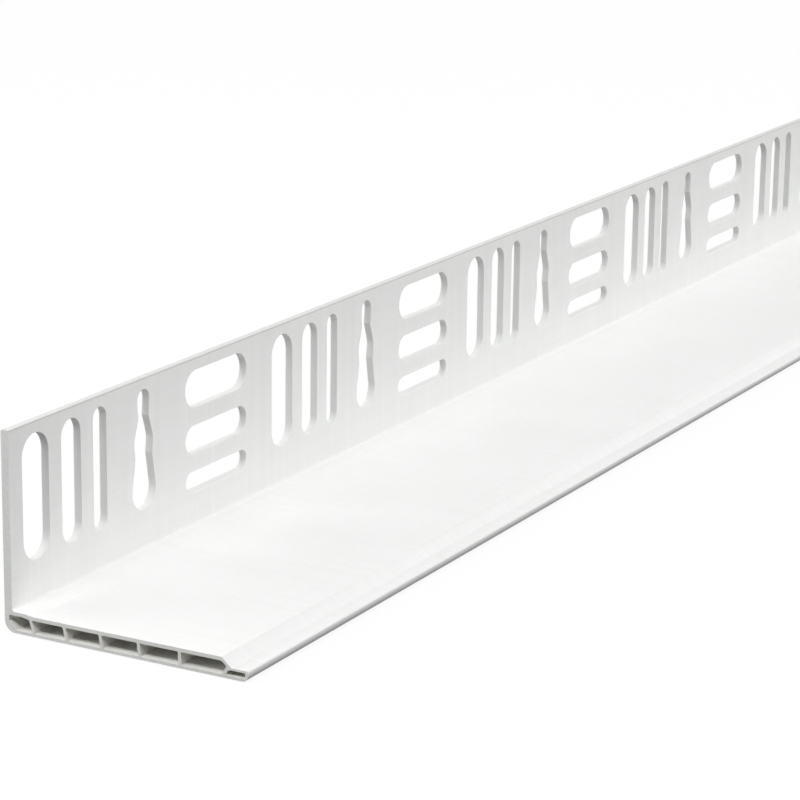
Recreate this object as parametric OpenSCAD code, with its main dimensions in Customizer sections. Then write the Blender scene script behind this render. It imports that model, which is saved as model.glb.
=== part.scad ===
// Plinth rail for insulated walls: one extruded length with a punched wall flange,
// a hollow leg that carries the boards and a thin drip lip along its free edge.
// X runs along the rail, the wall face looks towards +Y and the underside lies at Z = 0.

/* [Rail] */
// Length of the rail
rail_len = 2000; // [200:100:3000]
// Reach of the rail from the wall face to the tip of the lip
rail_w = 60; // [40:0.5:160]
// Height of the flange above the underside
flange_h = 44; // [38:0.5:80]
// Thickness of the flange
flange_t = 1.9; // [1.4:0.1:3]
// Radius of the two edges along the top of the flange
flange_edge_r = 0.3; // [0.1:0.05:0.6]
// Radius of the outer corner between the wall face and the underside
heel_r = 2.6; // [0.5:0.1:3]

/* [Hollow leg] */
// Height of the leg
leg_h = 4.35; // [4:0.05:7]
// Thickness of the leg's lower skin and of the wall round the heel
skin_t = 0.68; // [0.5:0.02:1]
// Thickness of the leg's upper skin
top_skin_t = 0.82; // [0.5:0.02:1]
// Thickness of the webs between the cells
web_t = 0.7; // [0.5:0.05:1.2]
// Thickness of the wall behind the first cell
heel_wall = 1.1; // [0.8:0.05:1.8]
// Distance from the wall face to the middle of the first web
web_first = 7; // [5:0.1:9]
// Distance from the first web to the second
web_pitch = 8.4; // [6:0.1:14]
// How much wider each cell is than the one before it
web_growth = 0.5; // [0:0.05:0.8]
// How far the foot of the first web stands in front of its top
web_lean = 0.95; // [0:0.05:1.2]
// Radius in the corners of the cells
cell_r = 0.25; // [0.1:0.05:0.4]
// How far the leg is thickened where it meets the flange
root_rise = 0.3; // [0:0.05:0.5]
// Distance from the wall face to where the thickening starts to fall
root_w = 5; // [4:0.1:6]
// Length of the fall from the thickening to the leg's top
root_fall = 2.6; // [1:0.1:5]
// Radius of the fillet between the leg and the flange
root_r = 0.8; // [0.3:0.1:1.5]

/* [Drip lip] */
// Height of the lip
lip_h = 2.35; // [2.2:0.05:3]
// Length of the lip's flat top, from its tip to the foot of the step
lip_reach = 4; // [3.5:0.1:8]
// Length of the sloping step between the leg's top and the lip
step_run = 2.35; // [1.5:0.05:3]
// Thickness of the sloping skin under the step
step_skin_t = 0.65; // [0.5:0.05:0.85]
// Thickness of the skin along the top of the lip
lip_skin_t = 0.5; // [0.4:0.05:0.8]
// Thickness of the wall at the lip's tip
lip_wall = 0.75; // [0.5:0.05:1.2]
// Radius under the lip's tip
lip_r = 1.5; // [0.5:0.1:1.6]
// Radius of the upper edge of the lip's tip
lip_edge_r = 0.4; // [0.2:0.05:0.6]
// Height of the fold in the last wall, where the step's skin turns back
fold_z = 2.5; // [2.2:0.05:2.8]
// How far the last wall leans back below its fold
fold_back = 1.2; // [0.5:0.1:2]
// Radius in the last cell's corner under the top of the step
fold_r = 0.8; // [0.25:0.05:1]

/* [Punching] */
// Distance from one punched group to the next
punch_pitch = 100; // [100:1:200]
// Strip left between the rail's end and the first slot
end_land = 4.6; // [3:0.1:20]
// Height of the upright slots' lower ends above the underside
slot_z = 13.6; // [12:0.1:15]
// Strip left between the upright slots and the top of the flange
top_land = 2.6; // [2:0.1:5]
// Width of the wide upright slot
wide_w = 9.5; // [7:0.1:10]
// Width of the middle upright slot
middle_w = 7.2; // [5:0.1:8]
// Width of the narrow upright slot
narrow_w = 5.1; // [4.2:0.1:6]
// Strip left between the upright slots
slot_land = 4.6; // [3:0.1:6]
// Strip left between the narrow slot and the stepped slot
pin_land = 9.8; // [4:0.1:12]
// Strip left between the stepped slot and the stack of level slots
stack_land = 12.3; // [4:0.1:14]

/* [Stepped slot] */
// Radius of the rounded head
head_r = 2.4; // [2.2:0.05:2.8]
// Radius at the neck below the head
neck_r = 2.05; // [1.8:0.05:2.2]
// Drop from the head's centre to the neck
neck_drop = 4.3; // [3:0.1:5]
// Radius of the shoulder
shoulder_r = 3.75; // [3.3:0.05:4]
// Drop from the neck to the shoulder's centre
shoulder_drop = 5.3; // [4:0.1:6]
// Radius at the waist below the shoulder
waist_r = 3.3; // [3:0.05:3.6]
// Drop from the shoulder's centre to the waist
waist_drop = 3.6; // [2.5:0.1:4.5]
// Radius of the rounded foot
foot_r = 4.65; // [4.2:0.05:5]

/* [Level slots] */
// Length of the level slots
level_len = 26.2; // [15:0.1:28]
// Height of the lowest slot's bottom above the underside
level_z = 12.6; // [11:0.1:14]
// Height of the lowest level slot
level_low_h = 4.7; // [4.2:0.1:6]
// Height of the level slot in the middle
level_mid_h = 6.7; // [5:0.1:8]
// Height of the highest level slot
level_high_h = 8.8; // [7:0.1:10]
// Strip left between the highest level slot and the top of the flange
level_top_land = 2.9; // [2:0.1:5]

/* [Hidden] */
$fn = 48;
// How far a corner's cut reaches past the outline
bleed = 0.5;
// How far the punching reaches past both faces of the flange
cut_past = 2;

cell_top = leg_h - top_skin_t;
cell_h = cell_top - skin_t;
step_x = rail_w - lip_reach - step_run;
step_fall = leg_h - lip_h;
slope_t = step_skin_t * norm([step_run, step_fall]) / step_fall;
last_wall_t = web_t * norm([fold_back, fold_z - skin_t]) / (fold_z - skin_t);

// Middles of the webs: each cell is wider than the one before, up to the step
function web_x(k) = web_first + k * web_pitch + web_growth * k * (k - 1) / 2;
webs = [for (k = [0:40]) if (web_x(k) < step_x - web_first) web_x(k)];

// The foot of a web stands in front of its top, less and less towards the lip
function lean(k) = web_lean * (1 - k / len(webs));
function web_face(k, z, side) =
    webs[k] + lean(k) * (0.5 - (z - skin_t) / cell_h) + side * web_t / 2;

// Inner face of the sloping skin under the step, at height z
function slope_x(z) = step_x + (leg_h - z) * step_run / step_fall - slope_t;

// Punched shapes: the upright ones share one length, and strips of one height part the level ones
slot_len = flange_h - top_land - slot_z;
level_hs = [level_low_h, level_mid_h, level_high_h];
level_land = (flange_h - level_top_land - level_z - level_low_h - level_mid_h - level_high_h) / 2;

// Places of the punched shapes, measured from the start of their group
wide_x = wide_w / 2;
middle_x = wide_x + (wide_w + middle_w) / 2 + slot_land;
narrow_x = middle_x + (middle_w + narrow_w) / 2 + slot_land;
pin_x = narrow_x + narrow_w / 2 + pin_land + foot_r;
level_x = pin_x + foot_r + stack_land + level_len / 2;
group_w = level_x + level_len / 2;
groups = floor((rail_len - 2 * end_land - group_w) / punch_pitch) + 1;

// Bottom of a level slot above the bottom of its stack
function level_bottom(k) = k == 0 ? 0 : level_bottom(k - 1) + level_hs[k - 1] + level_land;

// A corner's arc centre, set in from both of its sides by r
function unit(v) = v / norm(v);
function normal(v) = [-v.y, v.x];
function side_normal(p, i) = normal(unit(p[(i + 1) % len(p)] - p[i]));
function arc_centre(p, i, r) =
    let (a = side_normal(p, (i + len(p) - 1) % len(p)), b = side_normal(p, i))
    p[i] + r * (a + b) / (1 + a * b);

// A convex outline, listed anticlockwise, with each corner rounded to its own radius
module rounded(p, radii) {
    last = len(p) - 1;
    polygon([for (i = [0:last]) each [
        arc_centre(p, i, radii[i]) - radii[i] * side_normal(p, (i + last) % len(p)),
        arc_centre(p, i, radii[i]) - radii[i] * side_normal(p, i)]]);
    for (i = [0:last]) translate(arc_centre(p, i, radii[i])) circle(radii[i]);
}

// A cell's outline, with the same small radius in all its corners
module cell(p) {
    rounded(p, [for (corner = p) cell_r]);
}

// The sliver between a square corner at the origin and the arc that rounds it
module corner(r) {
    difference() {
        translate([-bleed, -bleed]) square(r + bleed);
        translate([r, r]) circle(r);
    }
}

// Two circles, one above the other, joined by their outer tangents
module taper(low_z, low_r, high_z, high_r) {
    rise = high_z - low_z;
    s = (low_r - high_r) / rise;
    c = sqrt(1 - s * s);
    translate([0, low_z]) circle(low_r);
    translate([0, high_z]) circle(high_r);
    polygon([
        [-low_r * c, low_z + low_r * s], [low_r * c, low_z + low_r * s],
        [high_r * c, high_z + high_r * s], [-high_r * c, high_z + high_r * s]]);
}

// The outline of the whole section: x is the distance from the wall face
module section_outline() {
    difference() {
        polygon([
            [0, 0], [rail_w, 0], [rail_w, lip_h], [step_x + step_run, lip_h],
            [step_x, leg_h], [root_w + root_fall, leg_h], [root_w, leg_h + root_rise],
            [flange_t, leg_h + root_rise], [flange_t, flange_h], [0, flange_h]]);
        corner(heel_r);
        translate([rail_w, 0]) mirror([1, 0]) corner(lip_r);
        translate([rail_w, lip_h]) rotate(180) corner(lip_edge_r);
        translate([0, flange_h]) mirror([0, 1]) corner(flange_edge_r);
        translate([flange_t, flange_h]) rotate(180) corner(flange_edge_r);
    }
    translate([flange_t, leg_h + root_rise]) corner(root_r);
}

// The first cell follows the heel and the thickening by the flange
module first_cell() {
    heel_in = heel_r - skin_t;
    cell([
        [heel_wall, skin_t + heel_in], [heel_wall + heel_in, skin_t],
        [web_face(0, skin_t, -1), skin_t], [web_face(0, cell_top, -1), cell_top],
        [root_w - top_skin_t, cell_top + root_rise], [heel_wall, cell_top + root_rise]]);
}

// A cell between two webs
module middle_cell(k) {
    cell([
        [web_face(k - 1, skin_t, 1), skin_t], [web_face(k, skin_t, -1), skin_t],
        [web_face(k, cell_top, -1), cell_top], [web_face(k - 1, cell_top, 1), cell_top]]);
}

// The last cell ends in the fold under the step
module last_cell() {
    k = len(webs) - 1;
    rounded([
        [web_face(k, skin_t, 1), skin_t], [slope_x(fold_z) - fold_back, skin_t],
        [slope_x(fold_z), fold_z], [slope_x(cell_top), cell_top],
        [web_face(k, cell_top, 1), cell_top]], [cell_r, cell_r, cell_r, fold_r, cell_r]);
}

// The flat cell inside the lip
module lip_cell() {
    top = lip_h - lip_skin_t;
    lean_x = fold_back * (top - skin_t) / (fold_z - skin_t);
    foot_x = slope_x(fold_z) - fold_back + last_wall_t;
    cell([
        [foot_x, skin_t], [rail_w - lip_wall, skin_t],
        [rail_w - lip_wall, top], [foot_x + lean_x, top]]);
}

// The section of the rail, with its hollow cells
module section() {
    difference() {
        section_outline();
        first_cell();
        for (k = [1:len(webs) - 1]) middle_cell(k);
        last_cell();
        lip_cell();
    }
}

module upright_slot(w) {
    taper(w / 2, w / 2, slot_len - w / 2, w / 2);
}

module stepped_slot() {
    head_z = slot_len - head_r;
    neck_z = head_z - neck_drop;
    shoulder_z = neck_z - shoulder_drop;
    waist_z = shoulder_z - waist_drop;
    taper(neck_z, neck_r, head_z, head_r);
    taper(shoulder_z, shoulder_r, neck_z, neck_r);
    taper(waist_z, waist_r, shoulder_z, shoulder_r);
    taper(foot_r, foot_r, waist_z, waist_r);
}

module level_slot(k) {
    r = level_hs[k] / 2;
    translate([-level_len / 2, level_bottom(k) + r]) rotate(-90) taper(r, r, level_len - r, r);
}

// One punched group, with its start at x = 0
module punched_group() {
    translate([wide_x, slot_z]) upright_slot(wide_w);
    translate([middle_x, slot_z]) upright_slot(middle_w);
    translate([narrow_x, slot_z]) upright_slot(narrow_w);
    translate([pin_x, slot_z]) stepped_slot();
    for (k = [0:len(level_hs) - 1]) translate([level_x, level_z]) level_slot(k);
}

// All the groups that fit into the rail's length, cut through the flange
module punching() {
    translate([0, flange_t + cut_past, 0]) rotate([90, 0, 0])
        linear_extrude(flange_t + 2 * cut_past)
            for (g = [0:groups - 1]) translate([end_land + g * punch_pitch, 0]) punched_group();
}

module plinth_profile() {
    color("white")
    translate([-rail_len / 2, rail_w / 2, 0]) difference() {
        translate([rail_len, 0, 0]) rotate([90, 0, -90]) linear_extrude(rail_len) section();
        mirror([0, 1, 0]) punching();
    }
}

plinth_profile();
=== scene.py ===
import math
import bpy
from mathutils import Matrix, Vector


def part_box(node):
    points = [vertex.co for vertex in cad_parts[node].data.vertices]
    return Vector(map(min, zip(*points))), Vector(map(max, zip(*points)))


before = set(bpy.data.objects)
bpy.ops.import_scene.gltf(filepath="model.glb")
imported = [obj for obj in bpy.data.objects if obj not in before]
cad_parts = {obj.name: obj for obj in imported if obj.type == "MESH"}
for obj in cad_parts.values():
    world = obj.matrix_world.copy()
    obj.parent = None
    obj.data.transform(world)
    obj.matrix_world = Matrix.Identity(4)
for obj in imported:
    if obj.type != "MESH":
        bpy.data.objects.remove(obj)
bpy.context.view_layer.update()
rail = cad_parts["plinth_profile"]
low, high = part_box("plinth_profile")
nearEnd = low.x    # the cut end that faces the camera
lipTip = low.y     # the free edge of the leg
wallFace = high.y  # the back of the flange
flangeTop = high.z
print("frame loaded, rail", round(high.x - low.x, 3), "m long")

cameraSetup = {
    "beyondEnd": 0.4752,  # how far the camera stands in front of the cut end
    "fromWall": 0.3538,
    "height": 0.2115,
    "heading": 61.32,     # turned from straight at the wall towards the rail's far end
    "pitch": 15.26,
    "roll": 0.76,
    "focalPixels": 2958,
    "pictureWidth": 800,
    "sensor": 36,
}


def makeCamera(s):
    data = bpy.data.cameras.new("camera")
    data.sensor_width = s["sensor"]
    data.lens = s["focalPixels"] / s["pictureWidth"] * s["sensor"]
    camera = bpy.data.objects.new("camera", data)
    bpy.context.scene.collection.objects.link(camera)
    place = Matrix.Translation((nearEnd - s["beyondEnd"], wallFace - s["fromWall"], s["height"]))
    heading = Matrix.Rotation(math.radians(-s["heading"]), 4, "Z")
    pitch = Matrix.Rotation(math.radians(90 - s["pitch"]), 4, "X")
    roll = Matrix.Rotation(math.radians(s["roll"]), 4, "Z")
    camera.matrix_world = place @ heading @ pitch @ roll
    bpy.context.scene.camera = camera


makeCamera(cameraSetup)
print("camera placed")


class Nodes:
    # a few shortcuts for building a node tree
    def __init__(self, tree):
        self.tree = tree
        tree.nodes.clear()

    def add(self, kind, inputs=None, **settings):
        node = self.tree.nodes.new(kind)
        for name, value in settings.items():
            setattr(node, name, value)
        for name, value in (inputs or {}).items():
            if isinstance(value, bpy.types.NodeSocket):
                self.tree.links.new(value, node.inputs[name])
            else:
                node.inputs[name].default_value = value
        return node

    def math(self, operation, a, b=0.0):
        return self.add("ShaderNodeMath", {0: a, 1: b}, operation=operation).outputs[0]

    def product(self, result, *others):
        for other in others:
            result = self.math("MULTIPLY", result, other)
        return result

    def mapRange(self, value, source, target=(0.0, 1.0)):
        return self.add("ShaderNodeMapRange", {
            "Value": value, "From Min": source[0], "From Max": source[1],
            "To Min": target[0], "To Max": target[1]}).outputs[0]

    def noise(self, vector, detail):
        node = self.add("ShaderNodeTexNoise", {"Vector": vector, "Scale": 1.0, "Detail": detail})
        return node.outputs["Fac"]

    def mix(self, factor, a, b, blend="MIX"):
        return self.add("ShaderNodeMix", {"Factor": factor, 6: a, 7: b}, data_type="RGBA",
                        blend_type=blend).outputs[2]

    def darken(self, colour, level):
        grey = self.add("ShaderNodeCombineColor", {"Red": level, "Green": level, "Blue": level}).outputs[0]
        return self.mix(1.0, colour, grey, "MULTIPLY")


pvc = {
    "skin": (0.90, 0.905, 0.895, 1),
    "rimShade": (0.65, 0.66, 0.645, 1),  # painted shade: the flange's narrow top edge is coloured darker than its face
    "sawn": (0.90, 0.915, 0.885, 1),
    "bladeMark": (0.98, 0.98, 0.97, 1),
    "inside": (0.90, 0.895, 0.86, 1),
    "punched": (0.85, 0.86, 0.84, 1),
    # where each of them lies, in metres
    "onFace": 0.00001,              # how close to a face a point counts as on it
    # depth of the painted shade on the flange's top edge
    "rimShadeDepth": 0.0004,
    "flange": 0.0019,
    "punchedFrom": 0.0120,          # height above the underside
    "topStrip": 0.0024,             # left unpunched below the flange's top
    "stepFoot": (0.0040, 0.00235),  # distance from the lip's tip, and height
    "stepTop": (0.00635, 0.00435),
    "topSkin": 0.0003,
    "cellFloor": 0.0006,
    "tipWall": 0.0006,
    "heelWall": 0.00105,
    # painted shade on the rounded foot of the drip lip
    "footShadeHeights": (0.0003, 0.0018),
    "footShadeLevels": (0.22, 1.0),      # how light the painted shade leaves it at these heights
    "footShadeFromTip": (0.0014, 0.0008),
    # extrusion lines, haul-off bands and blade marks
    "lineScale": (4, 900, 900),
    "lineDetail": 3.0,
    "lineShare": 0.4,
    "bandScale": (800, 14, 14),
    "bandDetail": 2.0,
    "bandShare": 0.6,
    "mottle": (0.3, 0.7),
    "mottleLevels": (0.955, 1.0),
    "bladeSlant": 35,
    "bladeScale": (1, 1 / 350, 1 / 2600),
    "bladeDetail": 4.0,
    "bladeRange": (0.55, 0.64),
    # the surface
    "roughness": 0.33,
    "lineRoughness": 0.1,
    "cutRoughness": 0.3,            # added on sawn and punched faces
    "bladeRelief": 1.2,
    "lineRelief": 0.12,
    "bumpStrength": 0.35,
    "bumpDepth": 0.0001,
    "ior": 1.53,
    "specular": 0.3,
    "scatter": 0.12,
    "scatterColours": (1.0, 0.95, 0.85),
    "scatterDepth": 0.0006,
}


def findEnds(n, x, s):
    return n.math("GREATER_THAN", n.math("ABSOLUTE", x), -nearEnd - s["onFace"])


def findSlots(n, y, z, s):
    # between both faces of the flange, at the punched heights
    return n.product(
        n.math("GREATER_THAN", y, wallFace - s["flange"] + s["onFace"]),
        n.math("LESS_THAN", y, wallFace - s["onFace"]),
        n.math("GREATER_THAN", z, s["punchedFrom"]),
        n.math("LESS_THAN", z, flangeTop - s["topStrip"]))


def findCells(n, y, z, s):
    # under the upper skin, which steps down to the lip
    underSkin = n.mapRange(
        y, (lipTip + s["stepFoot"][0], lipTip + s["stepTop"][0]),
        (s["stepFoot"][1] - s["topSkin"], s["stepTop"][1] - s["topSkin"]))
    return n.product(
        n.math("LESS_THAN", z, underSkin),
        n.math("GREATER_THAN", z, s["cellFloor"]),
        n.math("GREATER_THAN", y, lipTip + s["tipWall"]),
        n.math("LESS_THAN", y, wallFace - s["heelWall"]))


def findLines(n, place, s):
    # extrusion lines run along the rail, and faint haul-off bands cross it
    along = n.add("ShaderNodeMapping", {"Vector": place, "Scale": s["lineScale"]}).outputs[0]
    across = n.add("ShaderNodeMapping", {"Vector": place, "Scale": s["bandScale"]}).outputs[0]
    return n.noise(along, s["lineDetail"]), n.noise(across, s["bandDetail"])


def findBladeMarks(n, place, s):
    # sawn ends carry slanting lines left by the blade
    slant = n.add("ShaderNodeMapping", {
        "Vector": place, "Rotation": (math.radians(s["bladeSlant"]), 0, 0), "Scale": s["bladeScale"]},
        vector_type="TEXTURE").outputs[0]
    return n.noise(slant, s["bladeDetail"])


def skinColour(n, y, z, lines, bands, s):
    mottle = n.math("ADD", n.product(bands, s["bandShare"]), n.product(lines, s["lineShare"]))
    skin = n.darken(s["skin"], n.mapRange(mottle, s["mottle"], s["mottleLevels"]))
    # painted shade: the foot of the lip is darker towards its underside
    shadedFoot = n.darken(skin, n.mapRange(z, s["footShadeHeights"], s["footShadeLevels"]))
    onShadedFoot = n.mapRange(y, [lipTip + distance for distance in s["footShadeFromTip"]])
    # painted shade on the flange's narrow top edge
    onShadedRim = n.math("GREATER_THAN", z, flangeTop - s["rimShadeDepth"])
    return n.mix(onShadedRim, n.mix(onShadedFoot, skin, shadedFoot), s["rimShade"])


def makePvc(s):
    material = bpy.data.materials.new("whitePvc")
    material.use_nodes = True
    n = Nodes(material.node_tree)
    place = n.add("ShaderNodeTexCoord").outputs["Object"]
    x, y, z = n.add("ShaderNodeSeparateXYZ", {"Vector": place}).outputs

    onEnd = findEnds(n, x, s)
    inSlot = findSlots(n, y, z, s)
    lines, bands = findLines(n, place, s)
    blade = findBladeMarks(n, place, s)
    sawn = n.mix(n.mapRange(blade, s["bladeRange"]), s["sawn"], s["bladeMark"])
    colour = n.mix(inSlot, skinColour(n, y, z, lines, bands, s), s["punched"])
    colour = n.mix(findCells(n, y, z, s), colour, s["inside"])
    colour = n.mix(onEnd, colour, sawn)

    cut = n.math("MAXIMUM", onEnd, inSlot)
    grain = n.math("ADD", n.product(lines, s["lineRoughness"]), s["roughness"])
    roughness = n.math("ADD", n.product(cut, s["cutRoughness"]), grain)
    relief = n.math("ADD", n.product(onEnd, blade, s["bladeRelief"]), n.product(lines, s["lineRelief"]))
    bump = n.add("ShaderNodeBump", {
        "Height": relief, "Strength": s["bumpStrength"], "Distance": s["bumpDepth"]}).outputs[0]
    shader = n.add("ShaderNodeBsdfPrincipled", {
        "Base Color": colour, "Roughness": roughness, "Normal": bump,
        "IOR": s["ior"], "Specular IOR Level": s["specular"], "Subsurface Weight": s["scatter"],
        "Subsurface Radius": s["scatterColours"], "Subsurface Scale": s["scatterDepth"]})
    n.add("ShaderNodeOutputMaterial", {"Surface": shader.outputs[0]})
    return material


rail.data.materials.clear()
rail.data.materials.append(makePvc(pvc))
print("rail given its PVC")


floorSetup = {
    "size": 60,
    "drop": 0.0002,
    "colour": (0.10, 0.10, 0.10, 1),
    "glow": 0.90,  # makes the background white, for the rays that seen() names
}


def seen(n):
    # camera, mirror and clear rays see the white studio
    path = n.add("ShaderNodeLightPath").outputs
    glossy = n.math("MAXIMUM", path["Is Camera Ray"], path["Is Glossy Ray"])
    return n.math("MAXIMUM", glossy, path["Is Transmission Ray"])


def makeFloor(s):
    bpy.ops.mesh.primitive_plane_add(size=s["size"], location=(0, 0, -s["drop"]))
    floor = bpy.context.object
    floor.name = "floor"
    material = bpy.data.materials.new("paleFloor")
    material.use_nodes = True
    n = Nodes(material.node_tree)
    surface = n.add("ShaderNodeBsdfDiffuse", {"Color": s["colour"]}).outputs[0]
    glow = n.add("ShaderNodeEmission", {"Strength": n.product(seen(n), s["glow"])}).outputs[0]
    both = n.add("ShaderNodeAddShader", {0: surface, 1: glow}).outputs[0]
    n.add("ShaderNodeOutputMaterial", {"Surface": both})
    floor.data.materials.append(material)


def makeWorld():
    world = bpy.data.worlds.new("studio")
    bpy.context.scene.world = world
    world.use_nodes = True
    n = Nodes(world.node_tree)
    white = n.add("ShaderNodeBackground", {"Color": (1, 1, 1, 1), "Strength": seen(n)}).outputs[0]
    n.add("ShaderNodeOutputWorld", {"Surface": white})


makeFloor(floorSetup)
makeWorld()
print("floor and backdrop ready")

suns = {
    # the key stands in the flange's own plane, wide enough for the flange to shade the leg's root
    "key": {"towards": (-0.52, 0.0, 0.854), "strength": 1.10, "angle": 24},
    "frontKey": {"towards": (-0.48, -0.42, 0.77), "strength": 0.26, "angle": 6},
    "frontTop": {"towards": (0.0, -0.67, 0.74), "strength": 1.28, "angle": 45},
    "backLow": {"towards": (-0.30, 0.82, 0.49), "strength": 0.30, "angle": 40},
    # for the wall side and the far end
    "backFill": {"towards": (0.42, 0.89, 0.17), "strength": 1.90, "angle": 50},
}
panels = {
    # x is measured from the cut end
    "endPanel": {"place": (-0.36, 0.09, 0.50), "aim": (0.0, 0.0, 0.02), "size": 0.14, "power": 0.56},
    "backPanel": {"place": (-0.35, 0.70, 0.35), "aim": (0.1, 0.0, 0.02), "size": 0.50, "power": 2.3},
    "frontPanel": {"place": (0.45, -1.10, 0.55), "aim": (0.25, 0.0, 0.02), "size": 0.60, "power": 3.6},
}


def hangLamp(name, data, towards, place=(0, 0, 0)):
    lamp = bpy.data.objects.new(name, data)
    lamp.location = place
    lamp.rotation_mode = "QUATERNION"
    lamp.rotation_quaternion = Vector(towards).to_track_quat("Z", "Y")
    lamp.visible_camera = False
    bpy.context.scene.collection.objects.link(lamp)


def makeSuns(lamps):
    for name, s in lamps.items():
        data = bpy.data.lights.new(name, "SUN")
        data.energy = s["strength"]
        data.angle = math.radians(s["angle"])
        hangLamp(name, data, s["towards"])


def makePanels(lamps):
    for name, s in lamps.items():
        data = bpy.data.lights.new(name, "AREA")
        data.shape = "DISK"
        data.size = s["size"]
        data.energy = s["power"]
        place = Vector(s["place"])
        hangLamp(name, data, place - Vector(s["aim"]), place + Vector((nearEnd, 0, 0)))


makeSuns(suns)
makePanels(panels)
bpy.context.scene.view_settings.view_transform = "Standard"
print("lamps ready")
